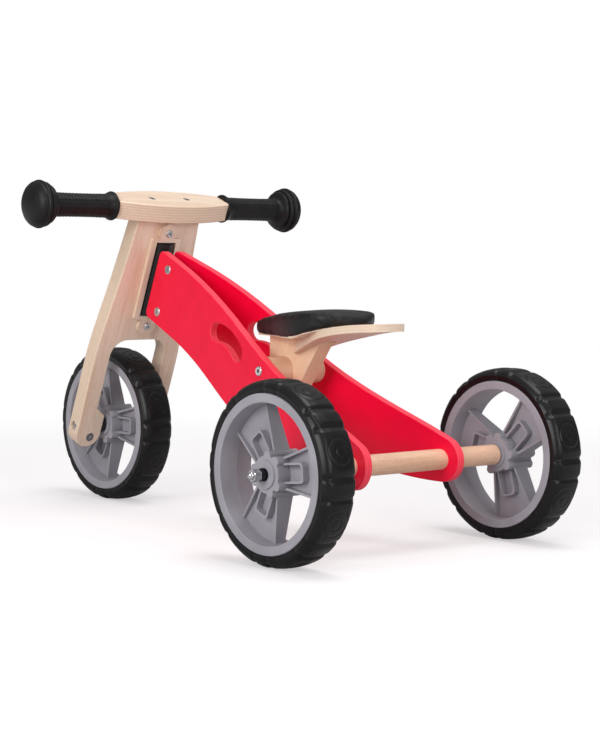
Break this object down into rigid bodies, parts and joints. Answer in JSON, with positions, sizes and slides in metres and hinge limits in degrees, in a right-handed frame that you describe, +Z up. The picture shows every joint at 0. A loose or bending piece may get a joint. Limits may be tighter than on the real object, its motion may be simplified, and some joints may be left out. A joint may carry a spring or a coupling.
{
  "type": "balance trike",
  "caption": "Small wooden ride-on trike with a steered front fork, two leaning side panels, a padded saddle on a post and spoked wheels with foam tyres.",
  "frame": {"origin": "on the ground, midway between the front and rear axles and midway between the rear wheels", "axes": "+X to the rider's left, +Y backwards, +Z up"},
  "size_m": [0.368, 0.632, 0.3505],
  "materials": {
    "red_paint": "smooth satin lacquer on 9 mm plywood",
    "birch_ply": "clear-coated birch plywood",
    "beech": "sanded, clear-coated beech",
    "black_plastic": "moulded nylon",
    "grey_plastic": "moulded, fine satin",
    "tyre_foam": "closed-cell foam rubber with a skin",
    "grip_rubber": "moulded, patterned",
    "saddle_cover": "grained synthetic leather",
    "steel": "bright zinc plate",
    "dark_steel": "dark zinc plate"
  },
  "bodies": {
    "frame": {"left_panel": "red_paint", "right_panel": "red_paint", "steering_block": "black_plastic", "frame_bolts": "steel", "frame_nuts": "steel", "seat_post": "beech", "seat_spacers": "beech", "seat_bolts": "steel", "seat_nuts": "steel", "seat_board": "birch_ply", "saddle_base": "birch_ply", "saddle_pad": "saddle_cover", "centre_dowel": "beech", "left_spacer_dowel": "beech", "right_spacer_dowel": "beech", "rear_axle_rod": "steel", "rear_washers": "steel", "rear_lock_nuts": "dark_steel", "rear_cap_nuts": "steel"},
    "steering": {"fork": "birch_ply", "pivot_cover": "birch_ply", "pivot_cover_screws": "steel", "pivot_pin": "steel", "pivot_washers": "black_plastic", "fork_cross_nuts": "steel", "handlebar_plate": "birch_ply", "handlebar_tube": "steel", "handlebar_screws": "steel", "left_grip": "grip_rubber", "right_grip": "grip_rubber", "front_axle_rod": "steel", "front_axle_nuts": "steel", "front_spacers": "black_plastic"},
    "front_wheel": {"front_rim": "grey_plastic", "front_tyre": "tyre_foam", "front_bushes": "black_plastic"},
    "rear_left_wheel": {"rear_left_rim": "grey_plastic", "rear_left_tyre": "tyre_foam", "rear_left_bushes": "black_plastic"},
    "rear_right_wheel": {"rear_right_rim": "grey_plastic", "rear_right_tyre": "tyre_foam", "rear_right_bushes": "black_plastic"}
  },
  "joints": [
    {"name": "steering", "type": "hinge", "parent": "frame", "child": "steering", "pos_m": [0, -0.1619, 0.2502], "axis": [0, 0.36, 0.933], "range_deg": [-25, 25]},
    {"name": "front_wheel_spin", "type": "hinge", "parent": "steering", "child": "front_wheel", "pos_m": [0, -0.231, 0.085], "axis": [1, 0, 0], "continuous": true},
    {"name": "rear_left_wheel_spin", "type": "hinge", "parent": "frame", "child": "rear_left_wheel", "pos_m": [0.1468, 0.231, 0.085], "axis": [1, 0, 0], "continuous": true},
    {"name": "rear_right_wheel_spin", "type": "hinge", "parent": "frame", "child": "rear_right_wheel", "pos_m": [-0.1468, 0.231, 0.085], "axis": [1, 0, 0], "continuous": true}
  ]
}
